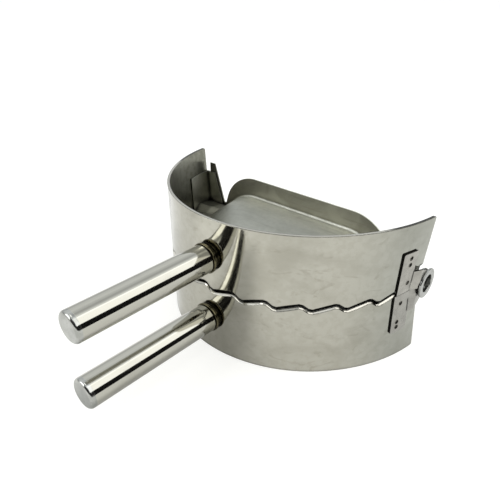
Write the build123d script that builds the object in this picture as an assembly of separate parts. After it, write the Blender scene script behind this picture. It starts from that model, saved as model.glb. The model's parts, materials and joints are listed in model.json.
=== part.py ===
from build123d import *
import os
from math import acos, atan2, cos, degrees, radians, sin, sqrt, tan

# Dumpling press: two alike halves, the second turned half a turn about the handles' direction.
# The pieces are made with X along the hinge, -Y towards the handles and the parting plane at Z = 0.
# They are written with the origin at the middle of the bottom of the closed press.

# Cutting wall, in millimetres and degrees
wall_radius = 49.0
wall_thickness = 0.9
half_height = 24.6
flare_start_angle = 45.0
flare_radius = 57.0
wall_end_setback = 1.6
rim_corner_radius = 0.8
hinge_notch_depth = 6.2
hinge_notch_height = 7.3
hinge_notch_radius = 0.8

# Crimping wave along the meeting edges
crimp_count = 14
crimp_height = 2.2
crimp_drop_angle = 3.4
crimp_round_angle = 0.7
wall_edge_gap = 1.0
crimp_edge_bevel = 0.42
dough_gap = 2.2

# Pan: ledge, dish and standing rear wall in one sheet
pan_thickness = 0.5
pan_edge_clearance = 0.05
cavity_radius = 39.5
floor_radius = 27.5
floor_height = 9.9
floor_bend_radius = 18.0
rear_wall_setback = 0.6
arch_height = 17.3
rear_bend_radius = 0.9
arch_shoulder = 33.9
arch_corner_radius = 16.0
notch_place = 39.2
notch_foot_height = 1.0
notch_round_radius = 0.8
tab_edge_clearance = 0.5
tab_top_width = 2.7
tab_height = 18.7

# Corner brackets between the wall and the pan's end tabs
bracket_thickness = 0.6
bracket_height = 15.0
bracket_foot_gap = 0.02
bracket_start_angle = 75.3
bracket_edge_inset = 0.7

# Hinge plates welded on the outside of the wall
plate_thickness = 0.6
outer_plate_start_angle = 74.0
outer_plate_height = 15.0
inner_plate_start_angle = 73.2
inner_plate_height = 14.4
plate_corner_radius = 0.6
plate_foot_height = 0.05
ear_radius = 4.4
ear_clearance = 0.3
ear_step_length = 3.0
outer_ear_root_height = 7.0
inner_ear_root_height = 8.2
weld_spot_radius = 0.75
weld_spot_depth = 0.2
outer_plate_spots = ((9.8, 3.7), (10.5, 10.5), (10.6, 12.9))
inner_plate_spots = ((11.4, 3.4), (12.1, 10.4), (12.1, 12.3))

# Hinge eyelets and their backing washers
barrel_radius = 3.55
barrel_bore_radius = 3.1
running_clearance = 0.05
stack_gap = 0.05
stack_start_clearance = 0.75
lip_thickness = 0.4
lip_radius = 4.5
washer_thickness = 0.35
washer_radius = 4.6
flange_thickness = 0.6
flange_radius = 5.2
flange_edge_radius = 0.25
mouth_edge_radius = 0.25

# Handles
handle_radius = 4.75
handle_wall = 0.6
handle_reach = 48.2
handle_height = 11.2
tube_edge_radius = 0.1
neck_radius = 4.4
neck_length = 2.3
neck_ring_radius = 5.1
neck_ring_width = 0.9
neck_ring_edge_radius = 0.35
neck_groove_width = 0.45
neck_spigot_length = 12.0
cap_length = 1.6
cap_edge_radius = 1.1
cap_spigot_length = 4.0
screw_radius = 2.0
screw_hole_clearance = 0.15
screw_length = 10.0
screw_head_radius = 3.3
screw_head_height = 1.9
screw_head_edge_radius = 0.9
screw_slot_width = 0.8
screw_slot_depth = 0.8

# Places that follow from the driving sizes
inner_wall_radius = wall_radius - wall_thickness
flare_shift = flare_radius - wall_radius
flare_turn = radians(flare_start_angle)
floor_underside = floor_height - pan_thickness
dish_slope = atan2(floor_underside, cavity_radius - floor_radius)
rear_wall_front = rear_wall_setback + pan_thickness
ledge_top = dough_gap / 2 + pan_thickness
tab_edge = inner_wall_radius - tab_edge_clearance
lip_start = inner_wall_radius + stack_start_clearance
washer_start = lip_start + lip_thickness + stack_gap
inner_ear_start = washer_start + washer_thickness + stack_gap
outer_ear_start = inner_ear_start + plate_thickness + stack_gap
flange_start = outer_ear_start + plate_thickness + stack_gap
flange_end = flange_start + flange_thickness
ear_flat_start = ear_radius + ear_clearance
plate_end = ear_flat_start + ear_step_length
tube_start = wall_radius + neck_length
handle_end = wall_radius + handle_reach
tube_end = handle_end - cap_length
tube_bore_radius = handle_radius - handle_wall
wide_reach = 2.0 * wall_radius
tall_reach = 2.0 * half_height
origin_shift = Vector(0, (handle_end - flange_radius) / 2, half_height)


def wave_points():
    """Angle and height of the wave at the wall's outside, from left to right, with its corners eased."""
    pitch = 180.0 / crimp_count
    drops = crimp_count // 2 - 1
    corners = [(-90.0, 0.0)]
    for step in range(-drops, drops + 1):
        corners.append((step * pitch - crimp_drop_angle / 2, crimp_height / 2))
        corners.append((step * pitch + crimp_drop_angle / 2, -crimp_height / 2))
    corners.append((90.0, 0.0))
    points = [corners[0]]
    for before, corner, after in zip(corners, corners[1:], corners[2:]):
        for other in (before, after):
            share = crimp_round_angle / abs(other[0] - corner[0])
            angle = corner[0] + share * (other[0] - corner[0])
            points.append((angle, corner[1] + share * (other[1] - corner[1])))
    points.append(corners[-1])
    return points


def wave_layer(low, high, edge_bevel=None):
    """Space between two copies of the wave: a fan of flat facets that meet on the vertical axis.

    With an edge bevel the lower fan rises at 45 degrees, and takes that much off the wall's outer edge.
    """
    reach = 1.2 * wall_radius
    dip = 0.0 if edge_bevel is None else wall_radius - edge_bevel
    rise = 0.0 if edge_bevel is None else reach - dip
    bottom = []
    top = []
    for angle, height in wave_points():
        across = reach * sin(radians(angle))
        ahead = -reach * cos(radians(angle))
        level = height * reach / wall_radius
        bottom.append(Vector(across, ahead, level + low + rise))
        top.append(Vector(across, ahead, level + high))
    heart_low = Vector(0, 0, low - dip)
    heart_high = Vector(0, 0, high)
    outlines = [
        [heart_low, bottom[0], top[0], heart_high],
        [heart_low, bottom[-1], top[-1], heart_high],
    ]
    for index in range(len(bottom) - 1):
        outlines.append([heart_low, bottom[index], bottom[index + 1]])
        outlines.append([heart_high, top[index], top[index + 1]])
        outlines.append([bottom[index], bottom[index + 1], top[index + 1], top[index]])
    faces = [Face(Wire.make_polygon(outline, close=True)) for outline in outlines]
    return Solid(Shell(faces))


def wall_line(end_radius, offset):
    """Start, middle and end of the wall's end arc, and its apex, at an offset from the outside."""
    shift = end_radius - wall_radius
    near = wall_radius + offset
    far = end_radius + offset
    last = acos(shift * cos(flare_turn) / far)
    middle = (flare_turn + last) / 2
    start = (near * sin(flare_turn), -near * cos(flare_turn))
    points = [start]
    for turn in (middle, last):
        across = far * sin(turn) - shift * sin(flare_turn)
        ahead = shift * cos(flare_turn) - far * cos(turn)
        points.append((across, ahead))
    points.append((0, -near))
    return points


def wall_section(height, end_radius, offset_in, offset_out):
    """Level cut through the space between two offsets of the wall, with end arcs of a given radius."""
    edges = []
    ends = []
    for offset in (offset_out, offset_in):
        start, middle, end, apex = wall_line(end_radius, offset)
        left = [Vector(-x, y, height) for x, y in (end, middle, start)]
        right = [Vector(x, y, height) for x, y in (start, middle, end)]
        track = [
            ThreePointArc(*left),
            ThreePointArc(left[2], Vector(*apex, height), right[0]),
            ThreePointArc(*right),
        ]
        ends.append((left[0], right[2]))
        edges.append(track)
    right_end = Line(ends[0][1], ends[1][1])
    left_end = Line(ends[1][0], ends[0][0])
    return Wire(edges[0] + [right_end] + edges[1] + [left_end])


def wall_shell(offset_in, offset_out):
    """Space between two offsets from the wall's outside, straight at the wave and flared at the rim."""
    sections = [
        wall_section(-crimp_height, wall_radius, offset_in, offset_out),
        wall_section(0, wall_radius, offset_in, offset_out),
        wall_section(half_height, flare_radius, offset_in, offset_out),
    ]
    return Solid.make_loft(sections, ruled=True)


def wall_outside(setback, height):
    """Distance of the wall's outside from the middle, at a setback from the hinge line and a height."""
    straight = sqrt(wall_radius**2 - setback**2)
    ahead = setback + flare_shift * cos(flare_turn)
    flared = sqrt(flare_radius**2 - ahead**2) - flare_shift * sin(flare_turn)
    return straight + (flared - straight) * height / half_height


def outline_block(points, normal, depth, rounds=()):
    """Block from a closed outline of points, with chosen corners rounded, thick along the normal."""
    outline = make_face(Polyline(*points, close=True))
    for corner, radius in rounds:
        outline = fillet(outline.vertices().sort_by_distance(corner)[0], radius)
    return extrude(outline, depth, dir=normal)


def side_block(points, rounds=()):
    """Block over the whole width, from an outline seen from the side as (distance ahead, height)."""
    placed = [Vector(-wide_reach, -ahead, height) for ahead, height in points]
    corners = [(Vector(-wide_reach, -ahead, height), radius) for (ahead, height), radius in rounds]
    return outline_block(placed, (1, 0, 0), 2 * wide_reach, corners)


def make_wall():
    """Cutting wall: bent sheet with a wavy meeting edge, a plain rim and notched ends."""
    rim_corner = (wall_end_setback, half_height)
    notch_corner = (hinge_notch_depth, hinge_notch_height)
    window = side_block(
        [
            (wide_reach, -half_height),
            (hinge_notch_depth, -half_height),
            notch_corner,
            (wall_end_setback, hinge_notch_height),
            rim_corner,
            (wide_reach, half_height),
        ],
        [(rim_corner, rim_corner_radius), (notch_corner, hinge_notch_radius)],
    )
    hole_radius = screw_radius + screw_hole_clearance
    hole = Pos(0, -wall_radius, handle_height) * Rot(90, 0, 0) * Cylinder(hole_radius, wall_radius)
    sheet = wall_shell(-wall_thickness, 0) & wave_layer(wall_edge_gap / 2, tall_reach)
    bevelled = sheet & wave_layer(wall_edge_gap / 2, tall_reach, crimp_edge_bevel)
    return (bevelled & window) - hole


def dish(offset):
    """Solid under the dish's sheet, grown by an offset square to the underside."""
    slope_out = offset / sin(dish_slope)
    foot_out = crimp_height / tan(dish_slope)
    brow = Vector(floor_radius + offset * tan(dish_slope / 2), 0, floor_underside + offset)
    points = [
        Vector(0, 0, -half_height),
        Vector(cavity_radius + slope_out + foot_out, 0, -half_height),
        Vector(cavity_radius + slope_out + foot_out, 0, -crimp_height),
        brow,
        Vector(0, 0, floor_underside + offset),
    ]
    outline = make_face(Polyline(*points, close=True))
    outline = fillet(outline.vertices().sort_by_distance(brow)[0], floor_bend_radius + offset)
    return revolve(outline, Axis.Z, 360)


def bent_dish():
    """Solid under the dish's top surface, with a standing sheet behind it and a bend between them."""
    span = Pos(0, -rear_wall_setback - pan_thickness / 2, 0)
    sheet = span * Box(2 * wide_reach, pan_thickness, 2 * half_height)
    ahead = Pos(0, -wide_reach / 2 - rear_wall_setback, 0) * Box(2 * wide_reach, wide_reach, tall_reach)
    body = (dish(pan_thickness) & ahead) + sheet
    bend = body.edges().filter_by(
        lambda edge: abs(edge.center().Y + rear_wall_front) < 0.001
        and edge.bounding_box().size.Y < 0.001
        and edge.center().Z > -crimp_height
        and edge.center().Z < floor_height + 0.001
        and abs(edge.center().X) < wall_radius
    )
    return fillet(bend, rear_bend_radius)


def rear_outline():
    """Block of the rear wall's outline: an arch between two V notches, and a tab at each end."""
    half = [
        (tab_edge, -half_height),
        (tab_edge, tab_height),
        (tab_edge - tab_top_width, tab_height),
        (notch_place, notch_foot_height),
        (arch_shoulder, arch_height),
    ]
    outline = [Vector(x, -rear_wall_front, z) for x, z in half]
    outline += [Vector(-x, -rear_wall_front, z) for x, z in reversed(half)]
    rounds = []
    for side in (-1, 1):
        notch = Vector(side * notch_place, -rear_wall_front, notch_foot_height)
        shoulder = Vector(side * arch_shoulder, -rear_wall_front, arch_height)
        rounds += [(notch, notch_round_radius), (shoulder, arch_corner_radius)]
    rear = outline_block(outline, (0, 1, 0), pan_thickness, rounds)
    front = Pos(0, -rear_wall_front - wide_reach / 2, 0) * Box(2 * wide_reach, wide_reach, tall_reach)
    return rear + front


def make_pan():
    """Pan: wavy ledge, half dish for the filling and a standing rear wall, pressed from one sheet."""
    hollow = dish(0)
    above_dough = wave_layer(dough_gap / 2, tall_reach)
    ledge_disc = Cylinder(inner_wall_radius - pan_edge_clearance, 2 * half_height)
    ledge = wave_layer(dough_gap / 2, ledge_top) & ledge_disc
    front = side_block(
        [
            (wide_reach, -half_height),
            (rear_wall_setback, -half_height),
            (rear_wall_setback, half_height),
            (wide_reach, half_height),
        ]
    )
    shaped = (bent_dish() & rear_outline() & above_dough) + (ledge & front)
    return shaped - hollow


def make_bracket(side):
    """Corner bracket: one leaf on the wall's inside, the other against the pan's end tab."""
    edge_run = tab_edge - tab_top_width - notch_place
    edge_rise = tab_height - notch_foot_height
    inset = bracket_edge_inset / cos(atan2(edge_run, edge_rise))
    foot = notch_place + inset - edge_run * notch_foot_height / edge_rise
    head = foot + edge_run * bracket_height / edge_rise
    back = -rear_wall_front
    points = [
        Vector(side * foot, back, 0),
        Vector(side * wide_reach, back, 0),
        Vector(side * wide_reach, back, bracket_height),
        Vector(side * head, back, bracket_height),
    ]
    rear_leaf = outline_block(points, (0, -1, 0), bracket_thickness)
    rear_leaf = rear_leaf & wall_shell(-wall_radius / 2, -wall_thickness)
    start = radians(bracket_start_angle)
    window = outline_block(
        [
            Vector(0, back, 0),
            Vector(side * wide_reach * sin(start), back - wide_reach * cos(start), 0),
            Vector(side * wide_reach, back, 0),
        ],
        (0, 0, 1),
        bracket_height,
    )
    wall_leaf = wall_shell(-wall_thickness - bracket_thickness, -wall_thickness) & window
    above_ledge = wave_layer(ledge_top + bracket_foot_gap, tall_reach)
    return (wall_leaf + rear_leaf) & above_ledge


def make_ear(start, root_height, hole_radius):
    """Flat ear on the right: a round end about the hinge line, run out to a straight root."""
    top = Vector(start, -ear_flat_start, root_height)
    foot = Vector(start, -ear_flat_start, plate_foot_height)
    touches = []
    for corner, turn in ((top, -1), (foot, 1)):
        reach = sqrt(corner.Y**2 + corner.Z**2)
        angle = atan2(corner.Z, corner.Y) + turn * acos(ear_radius / reach)
        touches.append(Vector(start, ear_radius * cos(angle), ear_radius * sin(angle)))
    outline = make_face(
        [
            Line(top, touches[0]),
            ThreePointArc(touches[0], Vector(start, ear_radius, 0), touches[1]),
            Line(touches[1], foot),
            Line(foot, top),
        ]
    )
    ear = extrude(outline, plate_thickness, dir=(1, 0, 0))
    hole = Pos(start, 0, 0) * Rot(0, 90, 0) * Cylinder(hole_radius, 4 * plate_thickness)
    return ear - hole


def make_step(start, root_height):
    """Bent step that carries a right-hand ear out from the plate's end."""
    heights = (plate_foot_height, root_height)
    root = []
    for height in heights:
        root.append(Vector(wall_outside(plate_end, height), -plate_end, height))
    tip = [Vector(start, -ear_flat_start, height) for height in heights]
    thick = Vector(plate_thickness, 0, 0)
    faces = [
        Wire.make_polygon([low, high, high + thick, low + thick], close=True)
        for low, high in (root, tip)
    ]
    return Solid.make_loft(faces, ruled=True) - wall_shell(-wall_radius / 2, 0)


def make_hinge_plate(start_angle, height, ear_start, root_height, spots, hole_radius):
    """Right-hand hinge plate: a leaf welded on the wall's outside, a bent step and a flat ear."""
    start = radians(start_angle)
    far = Vector(wide_reach * sin(start), -wide_reach * cos(start), plate_foot_height)
    window = outline_block(
        [Vector(0, 0, plate_foot_height), far, Vector(wide_reach, 0, plate_foot_height)],
        (0, 0, 1),
        height - plate_foot_height,
    )
    ahead = side_block(
        [
            (wide_reach, -half_height),
            (plate_end, -half_height),
            (plate_end, half_height),
            (wide_reach, half_height),
        ]
    )
    leaf = wall_shell(0, plate_thickness) & window & ahead
    corners = leaf.edges().filter_by(lambda edge: edge.length < 2 * plate_thickness)
    leaf = fillet(corners.sort_by(Axis.Z)[-2:], plate_corner_radius)
    plate = leaf + make_step(ear_start, root_height) + make_ear(ear_start, root_height, hole_radius)
    for setback, level in spots:
        across = wall_outside(setback, level) + plate_thickness
        turn = Rot(0, 0, 90 - degrees(atan2(setback, across)))
        dimple = Rot(90, 0, 0) * Cylinder(weld_spot_radius, 2 * weld_spot_depth)
        plate -= Pos(across, -setback, level) * turn * dimple
    return plate


def ring_about_hinge(points, rounds=()):
    """Solid turned about the hinge line on the right, from a section given as (along, out)."""
    outline = make_face(Polyline(*[Vector(along, out, 0) for along, out in points], close=True))
    for (along, out), radius in rounds:
        outline = fillet(outline.vertices().sort_by_distance(Vector(along, out, 0))[0], radius)
    return revolve(outline, Axis.X, 360)


def make_eyelet():
    """Hollow hinge eyelet on the right: barrel, outside flange and the lip rolled over inside."""
    lip_end = lip_start + lip_thickness
    return ring_about_hinge(
        [
            (lip_start, barrel_bore_radius),
            (lip_start, lip_radius),
            (lip_end, lip_radius),
            (lip_end, barrel_radius),
            (flange_start, barrel_radius),
            (flange_start, flange_radius),
            (flange_end, flange_radius),
            (flange_end, barrel_bore_radius),
        ],
        [
            ((flange_end, flange_radius), flange_edge_radius),
            ((flange_end, barrel_bore_radius), mouth_edge_radius),
            ((lip_start, lip_radius), mouth_edge_radius),
        ],
    )


def make_washer():
    """Backing washer on the right, between the inner ear and the rolled lip."""
    hole = barrel_radius + running_clearance
    far = washer_start + washer_thickness
    return ring_about_hinge(
        [(washer_start, hole), (washer_start, washer_radius), (far, washer_radius), (far, hole)]
    )


def along_handle(points, rounds=()):
    """Solid turned about the handle's axis, from a section given as (distance ahead, out)."""
    outline = make_face(
        Polyline(*[Vector(out, -ahead, handle_height) for ahead, out in points], close=True)
    )
    for (ahead, out), radius in rounds:
        corner = Vector(out, -ahead, handle_height)
        outline = fillet(outline.vertices().sort_by_distance(corner)[0], radius)
    return revolve(outline, Axis((0, 0, handle_height), (0, 1, 0)), 360)


def make_tube():
    """Handle tube, open at both ends."""
    return along_handle(
        [
            (tube_start, tube_bore_radius),
            (tube_start, handle_radius),
            (tube_end, handle_radius),
            (tube_end, tube_bore_radius),
        ],
        [((tube_start, handle_radius), tube_edge_radius)],
    )


def make_neck():
    """Handle neck: a collar shaped to the wall, a ring, a groove and a bored spigot inside the tube."""
    spigot_end = tube_start + neck_spigot_length
    ring_end = tube_start - neck_groove_width
    ring_start = ring_end - neck_ring_width
    body = along_handle(
        [
            (inner_wall_radius, screw_radius),
            (inner_wall_radius, neck_radius),
            (ring_start, neck_radius),
            (ring_start, neck_ring_radius),
            (ring_end, neck_ring_radius),
            (ring_end, neck_radius),
            (tube_start, neck_radius),
            (tube_start, tube_bore_radius),
            (spigot_end, tube_bore_radius),
            (spigot_end, screw_radius),
        ],
        [
            ((ring_start, neck_ring_radius), neck_ring_edge_radius),
            ((ring_end, neck_ring_radius), neck_ring_edge_radius),
        ],
    )
    return body - Cylinder(wall_radius, 4 * half_height)


def make_cap():
    """End cap with a rounded edge and a spigot inside the tube."""
    return along_handle(
        [
            (handle_end, 0),
            (handle_end, handle_radius),
            (tube_end, handle_radius),
            (tube_end, tube_bore_radius),
            (tube_end - cap_spigot_length, tube_bore_radius),
            (tube_end - cap_spigot_length, 0),
        ],
        [((handle_end, handle_radius), cap_edge_radius)],
    )


def make_screw():
    """Slotted screw through the wall from inside into the handle's neck."""
    seat = sqrt(inner_wall_radius**2 - screw_head_radius**2)
    head = seat - screw_head_height
    body = along_handle(
        [
            (head, 0),
            (head, screw_head_radius),
            (seat, screw_head_radius),
            (seat, screw_radius),
            (seat + screw_length, screw_radius),
            (seat + screw_length, 0),
        ],
        [((head, screw_head_radius), screw_head_edge_radius)],
    )
    slot = Box(4 * screw_head_radius, 2 * screw_slot_depth, screw_slot_width)
    return body - Pos(0, -head, handle_height) * slot


def make_half(ear_hole_radius):
    """All pieces of the upper half, by name, with its outer ear on the right."""
    outer = make_hinge_plate(
        outer_plate_start_angle,
        outer_plate_height,
        outer_ear_start,
        outer_ear_root_height,
        outer_plate_spots,
        ear_hole_radius,
    )
    inner = make_hinge_plate(
        inner_plate_start_angle,
        inner_plate_height,
        inner_ear_start,
        inner_ear_root_height,
        inner_plate_spots,
        ear_hole_radius,
    )
    return {
        "wall": make_wall(),
        "pan": make_pan(),
        "outer_hinge_plate": outer,
        "inner_hinge_plate": mirror(inner, Plane.YZ),
        "right_corner_bracket": make_bracket(1),
        "left_corner_bracket": make_bracket(-1),
        "handle_tube": make_tube(),
        "handle_neck": make_neck(),
        "handle_end_cap": make_cap(),
        "handle_screw": make_screw(),
    }


pieces = {}
half_turn = Rot(0, 180, 0)
for name, piece in make_half(barrel_radius + running_clearance).items():
    pieces["upper_" + name] = piece
swapped = {"right_corner_bracket": "left_corner_bracket", "left_corner_bracket": "right_corner_bracket"}
for name, piece in make_half(barrel_radius).items():
    pieces["lower_" + swapped.get(name, name)] = half_turn * piece
for side, turn in (("right", Rot(0, 0, 0)), ("left", half_turn)):
    pieces[side + "_hinge_eyelet"] = turn * make_eyelet()
    pieces[side + "_backing_washer"] = turn * make_washer()

os.makedirs("parts", exist_ok=True)
for name, piece in pieces.items():
    export_step(Pos(origin_shift) * piece, "parts/" + name + ".step")
print("pieces", len(pieces), "hinge line at", origin_shift)
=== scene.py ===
# %% [markdown]
# # Dumpling press
# Two alike halves of thin stainless steel turn on hollow eyelets. The CAD model already holds every
# piece at its real size, in metres, so this lesson keeps those shapes and gives them their finish:
# satin bent sheet, a soft pressed pan, mirror tubes and turned fittings.

# %% Load the frame
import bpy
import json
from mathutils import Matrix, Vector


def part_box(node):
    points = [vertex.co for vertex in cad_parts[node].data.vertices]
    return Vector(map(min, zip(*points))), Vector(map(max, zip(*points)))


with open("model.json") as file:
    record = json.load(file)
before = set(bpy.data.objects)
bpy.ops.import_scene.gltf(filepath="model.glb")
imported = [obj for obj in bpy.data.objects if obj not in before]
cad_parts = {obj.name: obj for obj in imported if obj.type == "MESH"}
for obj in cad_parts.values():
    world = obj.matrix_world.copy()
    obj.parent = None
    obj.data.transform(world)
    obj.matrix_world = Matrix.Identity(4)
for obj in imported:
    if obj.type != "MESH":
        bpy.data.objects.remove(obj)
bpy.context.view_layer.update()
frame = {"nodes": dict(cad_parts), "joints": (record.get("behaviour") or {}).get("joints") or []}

# %% [markdown]
# ## Tools and units
# Blender works in metres, and a maker thinks in millimetres. One short name for a millimetre lets
# every size below be read as it would be measured on the bench.

# %% Tools and units
import bpy
import json
import math
from mathutils import Matrix, Vector

MM = 0.001
scene = bpy.context.scene
nodes = frame["nodes"]
print("pieces", len(nodes))

# %% [markdown]
# ## Where things are
# The hinge line runs along X through both eyelets. The walls are bent round a vertical axis that
# crosses it in the middle, so angles round that axis describe every place on the sheet. Places could
# be typed in, but those that are read from the frame stay right when the model changes.

# %% Hinge line and walls
hinge = Vector(frame["joints"][0]["pos_m"])
wall_low, wall_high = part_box("lower_wall")
print("hinge line", hinge)
print("round front's radius", round(hinge.y - wall_low.y, 5), "lower wall's top", round(wall_high.z, 5))

# %% [markdown]
# ## Camera
# The press is seen from the front right and from above, at a little less than 30 degrees. A real
# camera stands at one place, so it is given by that place, its turn, its tilt and its lens. Aiming it
# at a target is easier, but a turn, a tilt and a roll of its own can each be set by itself.

# %% Camera
CAMERA_FROM_HINGE = Vector((98.056, -139.616, 87.170)) * MM
CAMERA_TURN = 41.599
CAMERA_TILT = 28.969
CAMERA_ROLL = 0.131
CAMERA_LENS = 35.385
SENSOR_WIDTH = 36.0
NEAREST_SEEN = 0.005
FARTHEST_SEEN = 20.0


def camera_axes():
    turn, tilt, roll = (math.radians(v) for v in (CAMERA_TURN, CAMERA_TILT, CAMERA_ROLL))
    ahead = (-math.sin(turn) * math.cos(tilt), math.cos(turn) * math.cos(tilt), -math.sin(tilt))
    look = Vector(ahead)
    level = look.cross(Vector((0, 0, 1))).normalized()
    above = level.cross(look)
    right = level * math.cos(roll) + above * math.sin(roll)
    return right, right.cross(look), look


def make_camera():
    right, up, look = camera_axes()
    data = bpy.data.cameras.new("camera")
    data.lens = CAMERA_LENS
    data.sensor_width = SENSOR_WIDTH
    data.clip_start = NEAREST_SEEN
    data.clip_end = FARTHEST_SEEN
    camera = bpy.data.objects.new("camera", data)
    turned = Matrix((right, up, -look)).transposed().to_4x4()
    camera.matrix_world = Matrix.Translation(hinge + CAMERA_FROM_HINGE) @ turned
    scene.collection.objects.link(camera)
    return camera


camera = make_camera()
scene.camera = camera
print("camera stands at", [round(v, 4) for v in camera.matrix_world.translation])

# %% [markdown]
# ## Wiring a material
# Every finish here is a small net of nodes. Painting a picture on each piece would need unwrapping,
# while a net works from the place on the piece. A few helpers keep the cells short: one adds a node
# and joins its inputs, one reckons, and one turns a range of values into a soft step. A number that
# is the same all over a surface goes straight on the shader's own socket.

# %% Helpers for nodes
def add(tree, kind, inputs=None, **settings):
    node = tree.nodes.new("ShaderNode" + kind)
    for key, value in settings.items():
        setattr(node, key, value)
    for key, value in (inputs or {}).items():
        if isinstance(value, bpy.types.NodeSocket):
            tree.links.new(value, node.inputs[key])
        else:
            node.inputs[key].default_value = value
    return node


def start_material(name):
    material = bpy.data.materials.new(name)
    material.use_nodes = True
    material.node_tree.nodes.clear()
    return material, material.node_tree


def reckon(tree, operation, first, second, third=None):
    values = {0: first, 1: second}
    if third is not None:
        values[2] = third
    return add(tree, "Math", values, operation=operation).outputs[0]


def unsigned(tree, value):
    return reckon(tree, "ABSOLUTE", value, 0.0)


def between(tree, value, low, high, start=0.0, end=1.0):
    limits = {"Value": value, "From Min": low, "From Max": high, "To Min": start, "To Max": end}
    return add(tree, "MapRange", limits, interpolation_type="SMOOTHSTEP").outputs[0]


def place_on(tree):
    return add(tree, "SeparateXYZ", {0: add(tree, "TexCoord").outputs["Object"]}).outputs


print("node helpers", [helper.__name__ for helper in (add, reckon, unsigned, between, place_on)])

# %% [markdown]
# ## Table
# The press stands on a white table. White paint would throw much light up into the steel, so the
# paper is a plain grey that takes the shadow, and a weak glow seen only by the camera and in
# reflections lifts it to white. Under the handles the real table lies in their shade, so less of
# the glow is mirrored there.

# %% Table
TABLE_REACH = 6.0
TABLE_DROP = 0.02 * MM
PAPER = (0.52, 0.52, 0.507)
GLOW_TINT = (1.0, 0.995, 0.975)
GLOW = 0.42
GLOW_FOR_CAMERA = 0.15
SHADE_NEAR = 4 * MM
SHADE_FAR = 30 * MM
GLOW_IN_SHADE = 0.1
SHADE_FRONT = -75 * MM
SHADE_BACK = -50 * MM


def clear_of_handles(tree):
    place = place_on(tree)
    beside = between(tree, unsigned(tree, place["X"]), SHADE_NEAR, SHADE_FAR, GLOW_IN_SHADE, 1.0)
    ahead = between(tree, place["Y"], SHADE_FRONT, SHADE_BACK, 1.0, 0.0)
    return reckon(tree, "MAXIMUM", beside, ahead)


def glow_strength(tree):
    ray = add(tree, "LightPath").outputs
    mirrored = reckon(tree, "MULTIPLY", ray["Is Glossy Ray"], clear_of_handles(tree))
    seen = reckon(tree, "MAXIMUM", ray["Is Camera Ray"], mirrored)
    seen = reckon(tree, "MAXIMUM", seen, ray["Is Transmission Ray"])
    extra = reckon(tree, "MULTIPLY", ray["Is Camera Ray"], GLOW_FOR_CAMERA)
    return reckon(tree, "MULTIPLY_ADD", seen, GLOW, extra)


def make_table():
    reach, drop = TABLE_REACH, -TABLE_DROP
    mesh = bpy.data.meshes.new("table")
    corners = [(-reach, -reach, drop), (reach, -reach, drop), (reach, reach, drop), (-reach, reach, drop)]
    mesh.from_pydata(corners, [], [(0, 1, 2, 3)])
    table = bpy.data.objects.new("table", mesh)
    scene.collection.objects.link(table)
    material, tree = start_material("table_paper")
    paper = add(tree, "BsdfDiffuse", {"Color": (*PAPER, 1)})
    glow = add(tree, "Emission", {"Color": (*GLOW_TINT, 1), "Strength": glow_strength(tree)})
    both = add(tree, "AddShader", {0: paper.outputs[0], 1: glow.outputs[0]})
    add(tree, "OutputMaterial", {"Surface": both.outputs[0]})
    mesh.materials.append(material)
    return table


table = make_table()
print("table", table.name, "reaches", TABLE_REACH, "m each way")

# %% [markdown]
# ## Light
# Polished steel shows the room more than itself. The bright stripe on each tube runs dead straight
# from cap to neck. A small lamp would show as a spot, so the lamp that draws it is a long panel lying
# the way the handles point, overhead on the right. A lamp at the front left draws the bright streaks
# that the wall shows beside the handles and lights the pan's rear wall. A small one overhead lifts
# everything a little. A lamp's strength is given as how bright its face is, and its power follows
# from its size.

# %% Lamps
LAMP_TINT = (1.0, 0.985, 0.955)
AIM_HEIGHT = 36 * MM
FRONT_LAMP_PLACE = (-0.535, -0.77, 0.48)
UPRIGHT = math.radians(90)


def make_lamp(name, width, length, brightness):
    data = bpy.data.lights.new(name, "AREA")
    data.shape = "RECTANGLE"
    data.size, data.size_y = width, length
    data.energy = brightness * math.pi * width * length
    lamp = bpy.data.objects.new(name, data)
    lamp.visible_camera = False
    scene.collection.objects.link(lamp)
    return lamp


def long_lamp(name, lift, distance, width, length, middle, brightness):
    lamp = make_lamp(name, width, length, brightness)
    lamp.data.color = LAMP_TINT
    angle = math.radians(lift)
    out = Vector((math.cos(angle), 0, math.sin(angle)))
    side = Vector((math.sin(angle), 0, -math.cos(angle)))
    turned = Matrix((side, Vector((0, 1, 0)), out)).transposed().to_4x4()
    lamp.matrix_world = Matrix.Translation(out * distance + Vector((0, middle, AIM_HEIGHT))) @ turned
    return lamp


key_lamp = long_lamp(
    "key_lamp", lift=46.0, distance=0.80, width=0.80, length=1.30, middle=0.25, brightness=1.2)
top_lamp = long_lamp(
    "top_lamp", lift=98.0, distance=0.80, width=0.26, length=0.30, middle=-0.16, brightness=1.9)
left_lamp = make_lamp("front_left_lamp", width=0.63, length=0.66, brightness=2.3)
left_lamp.location = FRONT_LAMP_PLACE
left_lamp.rotation_euler = (UPRIGHT, 0, 0)
print("lamps", [(lamp.name, round(lamp.data.energy, 2)) for lamp in (key_lamp, top_lamp, left_lamp)])

# %% [markdown]
# ## Room
# The rest of the room is light grey, and a little brighter where its walls catch the lamp. A plain
# grey would leave the tubes flat, and real walls round the table would cost time, so the room is
# drawn by direction: how far round the handles' line a ray goes, in degrees from the right, over the
# top, to the left. The camera itself sees white.

# %% Room
HALF_TURN = 180
ROOM_TINT = (0.48, 0.4925, 0.5)
ROOM_BRIGHTNESS = 2.0
ROOM_GREYS = (
    (0, 0.66), (24, 0.72), (62, 0.76), (72, 1.30), (78, 1.30), (88, 0.84),
    (97, 0.66), (112, 0.88), (128, 1.06), (150, 0.96), (168, 0.72), (180, 0.66),
)


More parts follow.
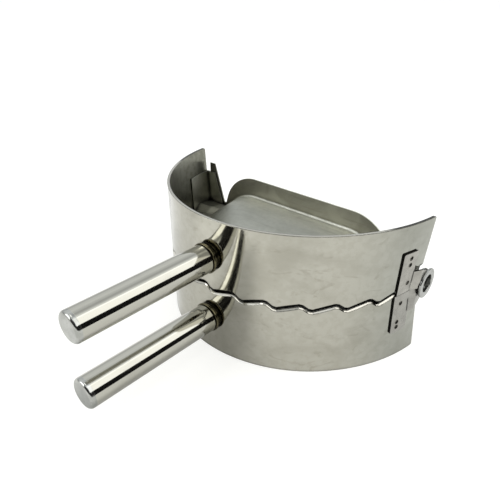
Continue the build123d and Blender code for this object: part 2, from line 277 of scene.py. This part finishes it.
def room_color(tree):
    heading = add(tree, "SeparateXYZ", {0: add(tree, "TexCoord").outputs["Generated"]}).outputs
    round_the_line = reckon(tree, "ARCTAN2", heading["Z"], heading["X"])
    share = reckon(tree, "DIVIDE", round_the_line, math.pi)
    greys = add(tree, "ValToRGB", {"Fac": share})
    ramp = greys.color_ramp
    ramp.interpolation = "EASE"
    for index, (angle, grey) in enumerate(ROOM_GREYS):
        stop = ramp.elements[index] if index < 2 else ramp.elements.new(angle / HALF_TURN)
        stop.position = angle / HALF_TURN
        stop.color = (*(part * grey for part in ROOM_TINT), 1)
    return greys.outputs["Color"]


def make_room():
    world = bpy.data.worlds.new("room")
    world.use_nodes = True
    tree = world.node_tree
    tree.nodes.clear()
    walls = add(tree, "Background", {"Color": room_color(tree), "Strength": ROOM_BRIGHTNESS})
    white = add(tree, "Background", {"Color": (1, 1, 1, 1), "Strength": 1.0})
    seen = add(tree, "LightPath").outputs["Is Camera Ray"]
    both = add(tree, "MixShader", {0: seen, 1: walls.outputs[0], 2: white.outputs[0]})
    add(tree, "OutputWorld", {"Surface": both.outputs[0]})
    return world


room = make_room()
scene.world = room
scene.view_settings.view_transform = "Standard"
print("room", room.name, "drawn with", len(ROOM_GREYS), "greys")

# %% [markdown]
# ## Black cards
# Bright metal looks like metal only when something dark stands in its reflection. Photographers of
# steelware stand black cards round the table. Here one stands on the right for the black stripe of
# the tubes, one in front for the dark bands where the wall mirrors the handles, and a low one at the
# front left, which darkens a few thin lines at the caps and necks. They show only in reflections and
# cast no shadow.

# %% Black cards
SIDE_CARD_GREY = 0.012
FRONT_CARD_GREY = 0.04
SIDE_CARD_PLACE = 0.27
FRONT_CARD_PLACE = -0.76


def make_card(name, corners, grey):
    mesh = bpy.data.meshes.new(name)
    mesh.from_pydata(corners, [], [(0, 1, 2, 3)])
    card = bpy.data.objects.new(name, mesh)
    scene.collection.objects.link(card)
    card.visible_camera = False
    card.visible_diffuse = False
    card.visible_shadow = False
    material, tree = start_material(name + "_felt")
    felt = add(tree, "BsdfDiffuse", {"Color": (grey, grey, grey, 1)})
    add(tree, "OutputMaterial", {"Surface": felt.outputs[0]})
    mesh.materials.append(material)
    return card


def side_card(name, near, far, low, high):
    x = SIDE_CARD_PLACE
    corners = [(x, near, low), (x, far, low), (x, far, high), (x, near, high)]
    return make_card(name, corners, SIDE_CARD_GREY)


def front_card(name, left, right, low, high):
    y = FRONT_CARD_PLACE
    corners = [(left, y, low), (right, y, low), (right, y, high), (left, y, high)]
    return make_card(name, corners, FRONT_CARD_GREY)


right_card = side_card("right_card", near=-0.40, far=1.20, low=0.0, high=0.164)
dark_front_card = front_card("dark_front_card", left=-0.18, right=0.75, low=0.02, high=0.80)
low_left_card = front_card("low_left_card", left=-1.80, right=-0.18, low=0.0, high=0.15)
print("cards", right_card.name, dark_front_card.name, low_left_card.name)

# %% [markdown]
# ## Marks on steel
# The steels share a few marks: cloudy patches from the rolling mill, fine grain along the sheet,
# slow waves where it was bent, painted shade darkening the corners, and edges rounded by tumbling. Each
# mark is a helper that reads the piece's own coordinates, so it stays in place when the press is opened.

# %% Helpers for marks
def cloud(tree, size_mm, detail=3.0, distortion=0.0, shift=(0, 0, 0)):
    sizes = size_mm if isinstance(size_mm, tuple) else (size_mm, size_mm, size_mm)
    stretch = tuple(1 / (size * MM) for size in sizes)
    place = add(tree, "TexCoord").outputs["Object"]
    place = add(tree, "Mapping", {"Vector": place, "Scale": stretch, "Location": shift}).outputs[0]
    looks = {"Vector": place, "Scale": 1.0, "Detail": detail, "Roughness": 0.55, "Distortion": distortion}
    return add(tree, "TexNoise", looks).outputs["Fac"]


def patchy(tree, size_mm, low, high, **looks):
    return between(tree, cloud(tree, size_mm, **looks), low, high)


def tint(tree, amount, first, second):
    mix = add(tree, "Mix", data_type="RGBA")
    for socket, value in ((mix.inputs[0], amount), (mix.inputs[6], first), (mix.inputs[7], second)):
        if isinstance(value, bpy.types.NodeSocket):
            tree.links.new(value, socket)
        else:
            socket.default_value = value if isinstance(value, float) else (*value, 1)
    return mix.outputs[2]


def stain(tree, marks, strength, color, stained):
    return tint(tree, reckon(tree, "MULTIPLY", marks, strength), color, stained)


def shade(tree, amount, color, factors):
    changed = add(tree, "VectorMath", {0: color, 1: factors}, operation="MULTIPLY").outputs[0]
    return tint(tree, amount, color, changed)


def rougher(tree, marks, more, base):
    return reckon(tree, "MULTIPLY_ADD", marks, more, base)


print("mark helpers", [helper.__name__ for helper in (cloud, patchy, tint, stain, shade, rougher)])

# %% [markdown]
# ## Corners, relief and edges
# Corners are darkened by how little open sky a point sees: this is painted shade, laid into the colour.
# Dents and grain are too small to model, and a bump does for them. A bevel that is only in the shading
# rounds the edges and leaves the model's mesh alone.

# %% Helpers for corners, relief and edges
# Painted shade: darkens the colour where a point sees little open sky, in corners, gaps and creases.
def corner_shade(tree, reach_mm, low=0.35, high=0.9):
    open_sky = add(tree, "AmbientOcclusion", {"Distance": reach_mm * MM}, samples=8).outputs["AO"]
    return between(tree, open_sky, low, high, 1.0, 0.0)


def relief(tree, height, depth_mm, normal=None):
    values = {"Height": height, "Distance": depth_mm * MM, "Strength": 1.0}
    if normal is not None:
        values["Normal"] = normal
    return add(tree, "Bump", values).outputs[0]


def soft_edges(tree, radius_mm):
    return add(tree, "Bevel", {"Radius": radius_mm * MM}, samples=6).outputs[0]


def finish_metal(tree, color, roughness, normal):
    values = {"Base Color": color, "Metallic": 1.0, "Roughness": roughness, "Normal": normal}
    shader = add(tree, "BsdfPrincipled", values)
    add(tree, "OutputMaterial", {"Surface": shader.outputs[0]})


def dress(material, *names):
    for name in names:
        mesh = nodes[name].data
        mesh.materials.clear()
        mesh.materials.append(material)
    print(material.name, "on", ", ".join(names))


print("helpers", [helper.__name__ for helper in (corner_shade, relief, soft_edges, dress)])

# %% [markdown]
# ## Which side of the sheet
# The two cutting walls are polished outside, where hands and dough touch them, and left dull inside.
# Each wall is one mesh, and picking its faces by hand would break when the model changes. The side
# is told from the direction that the surface faces: away from the middle is outside, up or down is
# a cut edge, and where the softened normal leaves the true one there is a sharp line.

# %% Which side of the sheet
SHARP_TURN = 0.945
FLAT_ENOUGH = 0.992


def away_from_middle(tree):
    source = add(tree, "TexCoord").outputs
    places = {0: source["Object"], 1: tuple(hinge)}
    middle = add(tree, "VectorMath", places, operation="SUBTRACT").outputs[0]
    level_part = add(tree, "VectorMath", {0: middle, 1: (1, 1, 0)}, operation="MULTIPLY").outputs[0]
    away = add(tree, "VectorMath", {0: level_part}, operation="NORMALIZE").outputs[0]
    agree = add(tree, "VectorMath", {0: source["Normal"], 1: away}, operation="DOT_PRODUCT")
    return agree.outputs["Value"]


def facing_out(tree):
    return between(tree, away_from_middle(tree), -0.2, 0.2)


def side_of_sheet(tree):
    return unsigned(tree, away_from_middle(tree))


def lying_share(tree):
    normal = add(tree, "TexCoord").outputs["Normal"]
    return unsigned(tree, add(tree, "SeparateXYZ", {0: normal}).outputs["Z"])


def on_cut_edge(tree):
    return between(tree, lying_share(tree), 0.35, 0.65)


def sharp_line(tree, radius_mm):
    softened = soft_edges(tree, radius_mm)
    flat = add(tree, "NewGeometry").outputs["Normal"]
    agree = add(tree, "VectorMath", {0: softened, 1: flat}, operation="DOT_PRODUCT").outputs["Value"]
    return between(tree, agree, SHARP_TURN, FLAT_ENOUGH, 1.0, 0.0)


print("side helpers", [helper.__name__ for helper in (facing_out, side_of_sheet, on_cut_edge, sharp_line)])

# %% [markdown]
# ## Where on the wall
# Heat from brazing the handles pulled the sheet there, which bends the mirrored stripes. The height
# of the bump grows away from the meeting line and fades beside the handles. The same few measures,
# height over the meeting line and distance from the hinge, place the darker ends of the wall.

# %% Where on the wall
def off_the_meeting_line(tree):
    return unsigned(tree, reckon(tree, "SUBTRACT", place_on(tree)["Z"], hinge.z))


def brazing_pull(tree):
    aside = unsigned(tree, place_on(tree)["X"])
    near_handle = between(tree, aside, 14 * MM, 38 * MM, 1.0, 0.0)
    return reckon(tree, "MULTIPLY", off_the_meeting_line(tree), near_handle)


def rim_height(tree):
    return between(tree, off_the_meeting_line(tree), 20 * MM, 23 * MM)


def near_hinge(tree, far_mm, close_mm):
    setback = reckon(tree, "SUBTRACT", hinge.y, place_on(tree)["Y"])
    return between(tree, setback, close_mm * MM, far_mm * MM, 1.0, 0.0)


print("wall helpers", [helper.__name__ for helper in (brazing_pull, rim_height, near_hinge)])

# %% [markdown]
# ## Polished outside of the wall
# Satin stainless sheet that has been handled: warm grey with cloudy patches, fine mottling, smears
# along the bend and a few brown stains. The upper half is painted brighter beside the handle, which is
# painted light, and both halves turn cooler to the left and darker towards the hinge. One even colour
# would look like paint, so each mark is laid over the last and kept weak.

# %% Polished outside of the wall
WALL_POLISH = ((0.470, 0.458, 0.400), (0.385, 0.373, 0.318))
WALL_MOTTLED = (0.37, 0.358, 0.30)
WALL_SMEARED = (0.31, 0.298, 0.25)
# Painted light beside the handle of the upper half.
WALL_STAINED = (0.315, 0.298, 0.245)
WALL_LIT_BESIDE_HANDLE = (1.35, 1.35, 1.36)
WALL_COOLER = (0.84, 0.88, 0.93)
WALL_BY_HINGE = (0.77, 0.80, 0.82)


# Painted light: where the upper half is brightened beside the handle.
def lit_beside_handle(tree, place):
    beside = between(tree, place["X"], 8 * MM, 30 * MM, 0.6, 0.0)
    right_of_handle = between(tree, place["X"], -8 * MM, 0.0)
    upper = between(tree, place["Z"], hinge.z - 1 * MM, hinge.z + 3 * MM)
    return reckon(tree, "MULTIPLY", reckon(tree, "MULTIPLY", beside, right_of_handle), upper)


def polished_side(tree, patches, mottle):
    smears = patchy(tree, (9, 9, 2.8), 0.60, 0.74, shift=(9, 2, 4))
    stains = patchy(tree, (7, 7, 4), 0.56, 0.70, detail=5.0, distortion=1.2, shift=(4, 8, 1))
    place = place_on(tree)
    color = tint(tree, patches, *WALL_POLISH)
    color = stain(tree, mottle, 0.28, color, WALL_MOTTLED)
    color = stain(tree, smears, 0.24, color, WALL_SMEARED)
    color = stain(tree, stains, 0.45, color, WALL_STAINED)
    color = shade(tree, lit_beside_handle(tree, place), color, WALL_LIT_BESIDE_HANDLE)
    color = shade(tree, between(tree, place["X"], -36 * MM, -18 * MM, 1.0, 0.0), color, WALL_COOLER)
    return shade(tree, near_hinge(tree, 36, 9), color, WALL_BY_HINGE)


print("polish", WALL_POLISH[0], "to", WALL_POLISH[1])

# %% [markdown]
# ## Wall steel
# The inside is dull mill finish, and its colour is painted darker as painted shade. The cut edges get
# a brighter colour, a painted highlight for the thin bright lip that catches the light, duller along the
# outer rim and painted near black, as painted shade, where the rim ends at the hinge. Painted shade
# darkens the corners and draws a dark line along every sharp corner. One material tells these apart by
# itself, so both walls can share it.

# %% Wall steel
# The inside is dull mill finish, and its colour is painted darker than the polished side, as painted
# shade.
WALL_DULL_AND_SHADED = ((0.27, 0.27, 0.225), (0.21, 0.21, 0.17))
# Painted shade laid into corners that see little open sky.
WALL_CORNER_SHADE = (0.035, 0.033, 0.026)
# Painted highlight: cut edges are coloured brighter than the sheet for the lip that catches the light.
# Painted shade: the rim is near black where it ends at the hinge.
LIP_HIGHLIGHT = (0.56, 0.545, 0.485)
RIM_COLOR = (0.48, 0.47, 0.42)
RIM_END_SHADE = (0.03, 0.03, 0.025)
# Painted shade: a dark line along every sharp corner.
CORNER_LINE_SHADE = (0.05, 0.048, 0.04)
INSIDE_ROUGHNESS = 0.30
BRAZING_DEPTH_MM = 55.0


# Painted highlight on the cut edges, with painted shade where the rim ends at the hinge.
def cut_edge_light_and_shade(tree):
    rim = rim_height(tree)
    rim_end = reckon(tree, "MULTIPLY", near_hinge(tree, 22, 17), rim)
    return tint(tree, rim_end, tint(tree, rim, LIP_HIGHLIGHT, RIM_COLOR), RIM_END_SHADE)


def wall_roughness(tree, outside, patches, mottle, grain, shade_in_corners):
    shine = rougher(tree, patches, 0.035, 0.055)
    shine = rougher(tree, mottle, 0.02, shine)
    shine = rougher(tree, grain, 0.02, shine)
    both = add(tree, "Mix", {0: outside, 2: INSIDE_ROUGHNESS, 3: shine}, data_type="FLOAT").outputs[0]
    return rougher(tree, shade_in_corners, 0.30, both)


def make_wall_steel():
    material, tree = start_material("wall_steel")
    outside = facing_out(tree)
    patches = patchy(tree, (26, 26, 15), 0.40, 0.68, detail=4.0, distortion=0.6)
    mottle = patchy(tree, 2.4, 0.42, 0.62, detail=4.0, shift=(3, 1, 7))
    grain = cloud(tree, (6, 6, 0.12), detail=2.0)
    # Painted shade in the corners; the same mask also roughens them.
    shade_in_corners = corner_shade(tree, 1.4, 0.30, 0.80)
    # Dull inside, painted darker as painted shade.
    dull_and_shaded = tint(tree, mottle, *WALL_DULL_AND_SHADED)
    color = tint(tree, outside, dull_and_shaded, polished_side(tree, patches, mottle))
    color = tint(tree, shade_in_corners, color, WALL_CORNER_SHADE)
    color = tint(tree, on_cut_edge(tree), color, cut_edge_light_and_shade(tree))
    # Painted shade: a dark line along every sharp corner.
    color = stain(tree, sharp_line(tree, 0.25), 0.8, color, CORNER_LINE_SHADE)
    roughness = wall_roughness(tree, outside, patches, mottle, grain, shade_in_corners)
    normal = relief(tree, brazing_pull(tree), BRAZING_DEPTH_MM, soft_edges(tree, 0.45))
    normal = relief(tree, cloud(tree, (24, 24, 14), detail=1.0), 0.04, normal)
    normal = relief(tree, grain, 0.0006, normal)
    finish_metal(tree, color, roughness, normal)
    return material


wall_steel = make_wall_steel()
dress(wall_steel, "upper_wall", "lower_wall")

# %% [markdown]
# ## Pan finish
# The pans are pressed from softer sheet. Pressing leaves a cooler, even grey with cloudy patches on
# the dish, and the standing rear wall is painted darker and browner than the dish, as painted shade.
# Left alone the dish would be bright in front and fade to the rear, where real satin sheet looks even,
# so its front gets painted shade and its rear painted light.

# %% Dish of the pan
DISH = ((0.565, 0.570, 0.505), (0.495, 0.500, 0.440))
DISH_MOTTLED = (0.44, 0.455, 0.40)
# Painted shade at the front of the dish and painted light at its rear.
DISH_FRONT_SHADE = (0.72, 0.725, 0.735)
DISH_REAR_LIGHT = (1.42, 1.42, 1.44)


def dish_color(tree, patches, mottle, place):
    color = tint(tree, patches, *DISH)
    color = stain(tree, mottle, 0.25, color, DISH_MOTTLED)
    # Painted shade on the front of the dish, painted light at its rear.
    color = shade(tree, between(tree, place["Y"], 32 * MM, 41 * MM, 1.0, 0.0), color, DISH_FRONT_SHADE)
    return shade(tree, between(tree, place["Y"], 39 * MM, 45 * MM), color, DISH_REAR_LIGHT)


print("dish", DISH[0], "to", DISH[1])

# %% [markdown]
# ## Pan steel
# Dish and rear wall are one sheet. Two materials would need its faces sorted by hand, so one tells
# them apart by how nearly flat the surface lies. The ledge and the end tabs, which the walls shade, are
# painted darker as painted shade, and painted shade darkens the corners.

# %% Pan steel
# The standing rear wall is painted darker and browner than the dish, as painted shade.
REAR_WALL_SHADED = ((0.430, 0.420, 0.345), (0.350, 0.340, 0.275))
PAN_STREAKED = (0.20, 0.20, 0.17)
# Painted shade: the ledge and the end tabs that the walls shade are coloured darker.
LEDGE_SHADE = (0.17, 0.165, 0.13)
TAB_SHADE = (0.05, 0.05, 0.04)
PAN_CORNER_SHADE = (0.03, 0.03, 0.024)


def make_pan_steel():
    material, tree = start_material("pan_steel")
    place = place_on(tree)
    lying = between(tree, lying_share(tree), 0.15, 0.75)
    patches = patchy(tree, (14, 9, 9), 0.38, 0.66, detail=4.0, distortion=0.8)
    mottle = patchy(tree, 1.8, 0.40, 0.62)
    streaks = patchy(tree, (12, 1.2, 1.2), 0.56, 0.72, detail=2.0)
    # Painted shade on the ledge near the meeting line and on the end tabs.
    ledge_shade = between(tree, off_the_meeting_line(tree), 2.5 * MM, 7.0 * MM, 0.8, 0.0)
    tab_shade = between(tree, unsigned(tree, place["X"]), 40.0 * MM, 41.5 * MM, 0.0, 0.62)
    # The upright part of the sheet gets the darker rear wall colour: painted shade.
    color = tint(tree, lying, tint(tree, patches, *REAR_WALL_SHADED), dish_color(tree, patches, mottle, place))
    color = stain(tree, streaks, 0.25, color, PAN_STREAKED)
    color = tint(tree, ledge_shade, color, LEDGE_SHADE)
    color = tint(tree, tab_shade, color, TAB_SHADE)
    # Painted shade in the corners.
    color = tint(tree, corner_shade(tree, 3.0), color, PAN_CORNER_SHADE)
    roughness = rougher(tree, mottle, 0.05, rougher(tree, patches, 0.08, 0.46))
    normal = relief(tree, cloud(tree, 13, detail=2.0), 0.10, soft_edges(tree, 0.12))
    normal = relief(tree, cloud(tree, 0.5, detail=2.0), 0.002, normal)
    finish_metal(tree, color, roughness, normal)
    return material


pan_steel = make_pan_steel()
dress(pan_steel, "upper_pan", "lower_pan")

# %% [markdown]
# ## Marks of the hinge plates
# The hinge plates are small stampings, spot welded to the walls. Each weld leaves a burnt pit with a
# brown halo, and a short dark line of painted shadow marks where the plate bends to its ear. The places
# of the welds are given in millimetres back from the hinge line and away from the meeting line, and as
# both are taken without sign, one list serves both halves and both ends.

# %% Marks of the hinge plates
OUTER_WELDS = ((9.8, 3.7), (10.5, 10.5), (10.6, 12.9))
INNER_WELDS = ((11.4, 3.4), (12.1, 10.4), (12.1, 12.3))
BEND_SETBACK = 7.9 * MM


def from_hinge(tree):
    place = add(tree, "TexCoord").outputs["Object"]
    place = add(tree, "VectorMath", {0: place, 1: tuple(hinge)}, operation="SUBTRACT").outputs[0]
    apart = add(tree, "VectorMath", {0: place}, operation="ABSOLUTE").outputs[0]
    return add(tree, "SeparateXYZ", {0: apart}).outputs


def weld_marks(tree, welds, near_mm, far_mm):
    apart = from_hinge(tree)
    marks = 0.0
    for setback, height in welds:
        aside = reckon(tree, "SUBTRACT", apart["Y"], setback * MM)
        rise = reckon(tree, "SUBTRACT", apart["Z"], height * MM)
        away = add(tree, "CombineXYZ", {"X": aside, "Y": rise}).outputs[0]
        distance = add(tree, "VectorMath", {0: away}, operation="LENGTH").outputs["Value"]
        mark = between(tree, distance, near_mm * MM, far_mm * MM, 1.0, 0.0)
        marks = reckon(tree, "MAXIMUM", mark, marks)
    return marks


# Painted shadow: a short dark line along the bend to the ear.
def bend_shadow(tree):
    apart = from_hinge(tree)
    off_line = unsigned(tree, reckon(tree, "SUBTRACT", apart["Y"], BEND_SETBACK))
    line = between(tree, off_line, 0.15 * MM, 0.45 * MM, 1.0, 0.0)
    above = between(tree, apart["Z"], 2.4 * MM, 3.6 * MM)
    below = between(tree, apart["Z"], 7.2 * MM, 8.2 * MM, 1.0, 0.0)
    return reckon(tree, "MULTIPLY", line, reckon(tree, "MULTIPLY", above, below))


print("welds on a plate", len(OUTER_WELDS), "outer", len(INNER_WELDS), "inner")

# %% [markdown]
# ## Hinge plate steel
# Heat from welding gives the plates a cooler, slightly violet cast. Their edges and corners are painted
# black, as painted shade. The inner plates lie deeper and are painted a little darker, as painted shade.
# One function makes both steels, as they differ only in their colours and in where their welds are.

# %% Hinge plate steel
OUTER_PLATE = ((0.405, 0.395, 0.362), (0.345, 0.336, 0.308))
# Painted shade: the inner plates are the outer colours made a little darker, for lying deeper.
INNER_PLATE_SHADED = ((0.352, 0.345, 0.318), (0.300, 0.293, 0.270))
PLATE_SPECKED = (0.26, 0.25, 0.23)
WELD_BURNT = (0.20, 0.18, 0.14)
# Black for the weld pits, and for the painted shade on edges, corners and the bend.
PLATE_BLACK = (0.020, 0.019, 0.016)


# Weld pits are real marks; the black side faces, corners and bend line are painted shade.
def pits_and_painted_shade(tree, welds):
    broken = patchy(tree, 0.55, 0.34, 0.50, detail=2.0, shift=(5, 5, 5))
    pits = reckon(tree, "MULTIPLY", weld_marks(tree, welds, 0.45, 0.80), broken)
    sides = between(tree, side_of_sheet(tree), 0.45, 0.70, 1.0, 0.0)
    shade_in_corners = corner_shade(tree, 0.5, 0.30, 0.80)
    black = reckon(tree, "MAXIMUM", reckon(tree, "MAXIMUM", pits, sides), shade_in_corners)
    return reckon(tree, "MAXIMUM", black, reckon(tree, "MULTIPLY", bend_shadow(tree), 0.8))


def make_hinge_steel(name, colors, welds):
    material, tree = start_material(name)
    patches = patchy(tree, 4.0, 0.38, 0.66, detail=4.0, distortion=0.5)
    specks = patchy(tree, 0.7, 0.60, 0.72, detail=2.0)
    black = pits_and_painted_shade(tree, welds)
    color = tint(tree, patches, *colors)
    color = stain(tree, specks, 0.4, color, PLATE_SPECKED)
    color = stain(tree, weld_marks(tree, welds, 0.5, 1.5), 0.35, color, WELD_BURNT)
    color = tint(tree, black, color, PLATE_BLACK)
    roughness = rougher(tree, black, 0.35, rougher(tree, patches, 0.10, 0.20))
    normal = relief(tree, cloud(tree, 3.0, detail=2.0), 0.02, soft_edges(tree, 0.14))
    normal = relief(tree, cloud(tree, (0.1, 0.1, 1.5), detail=2.0), 0.0010, normal)
    finish_metal(tree, color, roughness, normal)
    return material


outer_steel = make_hinge_steel("outer_hinge_steel", OUTER_PLATE, OUTER_WELDS)
inner_steel = make_hinge_steel("inner_hinge_steel", INNER_PLATE_SHADED, INNER_WELDS)
dress(outer_steel, "upper_outer_hinge_plate", "lower_outer_hinge_plate")
dress(inner_steel, "upper_inner_hinge_plate", "lower_inner_hinge_plate")

# %% [markdown]
# ## Corner brackets
# The brackets tie the wall to the end tabs of the pan. They are plain dull sheet with upright grain,
# and painted shade darkens the corner they stand in.

# %% Bracket steel
BRACKET = ((0.480, 0.480, 0.415), (0.380, 0.380, 0.325))
BRACKET_CORNER_SHADE = (0.025, 0.025, 0.02)


def make_bracket_steel():
    material, tree = start_material("bracket_steel")
    patches = patchy(tree, 5.0, 0.38, 0.64, detail=4.0)
    grain = cloud(tree, (0.25, 0.25, 5.0), detail=2.0)
    color = tint(tree, patches, *BRACKET)
    # Painted shade in the corner.
    color = tint(tree, corner_shade(tree, 2.2, 0.32, 0.90), color, BRACKET_CORNER_SHADE)
    normal = relief(tree, grain, 0.0015, soft_edges(tree, 0.12))
    finish_metal(tree, color, rougher(tree, grain, 0.12, 0.24), normal)
    return material


bracket_steel = make_bracket_steel()
corners = [half + side for half in ("upper_", "lower_") for side in ("right", "left")]
dress(bracket_steel, *[corner + "_corner_bracket" for corner in corners])

# %% [markdown]
# ## Handle tubes
# The tubes are drawn and mirror polished. Polishing turns the tube against a wheel, so what little
# grain is left runs round it. A perfect mirror would look computed: soft smudges from hands and very
# slow waves from drawing make the stripes tremble a little.

# %% Polished tube
TUBE = ((0.485, 0.478, 0.425), (0.440, 0.432, 0.382))
TUBE_CORNER_SHADE = (0.03, 0.028, 0.022)


def make_tube_steel():
    material, tree = start_material("polished_tube")
    rings = cloud(tree, (3.0, 0.10, 3.0), detail=2.0)
    smudges = patchy(tree, (7, 16, 7), 0.45, 0.70, detail=4.0, distortion=0.7)
    color = tint(tree, smudges, *TUBE)
    # Painted shade in corners that see little open sky.
    color = tint(tree, corner_shade(tree, 1.0, 0.25, 0.85), color, TUBE_CORNER_SHADE)
    roughness = rougher(tree, rings, 0.03, rougher(tree, smudges, 0.045, 0.045))
    normal = relief(tree, cloud(tree, (5, 20, 5), detail=1.0), 0.012, soft_edges(tree, 0.08))
    normal = relief(tree, rings, 0.0003, normal)
    finish_metal(tree, color, roughness, normal)
    return material


tube_steel = make_tube_steel()
dress(tube_steel, "upper_handle_tube", "lower_handle_tube")

# %% [markdown]
# ## Browned neck
# Brazing heats the neck until it turns brown, unevenly, and painted shade blackens its groove. The
# brown is a skin on metal, so it is a dark metal colour and not a paint.

# %% Browned neck
NECK = ((0.135, 0.120, 0.070), (0.065, 0.058, 0.034))
NECK_CORNER_SHADE = (0.015, 0.013, 0.008)


def make_neck_steel():
    material, tree = start_material("handle_fitting")
    heat = patchy(tree, 2.2, 0.36, 0.66)
    color = tint(tree, heat, *NECK)
    # Painted shade in the groove and corners.
    color = tint(tree, corner_shade(tree, 1.2, 0.35, 0.95), color, NECK_CORNER_SHADE)
    normal = relief(tree, cloud(tree, 0.6), 0.008, soft_edges(tree, 0.1))
    finish_metal(tree, color, rougher(tree, heat, 0.16, 0.16), normal)
    return material


neck_steel = make_neck_steel()
dress(neck_steel, "upper_handle_neck", "lower_handle_neck")

# %% [markdown]
# ## End caps
# The caps are turned and left satin, with small specks where the tool tore the steel. Their rounded
# edge is modelled, so they need no softened edges, only faint unevenness.

# %% Satin end cap
CAP = ((0.490, 0.495, 0.470), (0.390, 0.395, 0.370))
CAP_SPECKED = (0.26, 0.26, 0.24)
CAP_CORNER_SHADE = (0.04, 0.038, 0.03)


def make_cap_steel():
    material, tree = start_material("handle_cap")
    patches = patchy(tree, 3.0, 0.38, 0.66, detail=4.0, distortion=0.4)
    specks = patchy(tree, 0.5, 0.60, 0.74, detail=2.0)
    color = tint(tree, patches, *CAP)
    color = stain(tree, specks, 0.5, color, CAP_SPECKED)
    # Painted shade in corners that see little open sky.
    color = tint(tree, corner_shade(tree, 0.8, 0.3, 0.9), color, CAP_CORNER_SHADE)
    normal = relief(tree, cloud(tree, 1.6), 0.006)
    finish_metal(tree, color, rougher(tree, patches, 0.08, 0.10), normal)
    return material


cap_steel = make_cap_steel()
dress(cap_steel, "upper_handle_end_cap", "lower_handle_end_cap")

# %% [markdown]
# ## Eyelets
# The hinge eyelets are rolled over with a press, which burnishes the flange round its hole. Their
# washers are hidden, and share the steel. A pattern of rings would need a centre for each eyelet.
# Grain that is fine along the hinge line needs none, and falls into rings by itself in the bore.

# %% Eyelet steel
EYELET = ((0.375, 0.380, 0.365), (0.300, 0.305, 0.290))
EYELET_CORNER_SHADE = (0.025, 0.024, 0.02)


def make_eyelet_steel():
    material, tree = start_material("eyelet_steel")
    rings = cloud(tree, (0.2, 2.5, 2.5), detail=2.0)
    patches = patchy(tree, 2.2, 0.38, 0.66)
    color = tint(tree, patches, *EYELET)
    # Painted shade in the bore and corners.
    color = tint(tree, corner_shade(tree, 1.6, 0.30, 0.90), color, EYELET_CORNER_SHADE)
    normal = relief(tree, rings, 0.002, soft_edges(tree, 0.1))
    finish_metal(tree, color, rougher(tree, patches, 0.10, 0.16), normal)
    return material


eyelet_steel = make_eyelet_steel()
dress(eyelet_steel, "right_hinge_eyelet", "left_hinge_eyelet")
dress(eyelet_steel, "right_backing_washer", "left_backing_washer")

# %% [markdown]
# ## Handle screws
# The slotted screws that hold the handles sit inside the walls, and are plain steel. Only their
# heads show, so a fine speckle over the head is all the detail they need.

# %% Screw steel
SCREW = ((0.44, 0.43, 0.40), (0.33, 0.32, 0.29))
SCREW_CORNER_SHADE = (0.03, 0.028, 0.022)


def make_screw_steel():
    material, tree = start_material("screw_steel")
    patches = patchy(tree, 1.5, 0.36, 0.66)
    speckle = cloud(tree, (0.15, 2.0, 0.15), detail=1.0)
    color = tint(tree, patches, *SCREW)
    # Painted shade in corners that see little open sky.
    color = tint(tree, corner_shade(tree, 1.0, 0.30, 0.90), color, SCREW_CORNER_SHADE)
    normal = relief(tree, speckle, 0.002, soft_edges(tree, 0.1))
    finish_metal(tree, color, rougher(tree, patches, 0.12, 0.22), normal)
    return material


screw_steel = make_screw_steel()
dress(screw_steel, "upper_handle_screw", "lower_handle_screw")
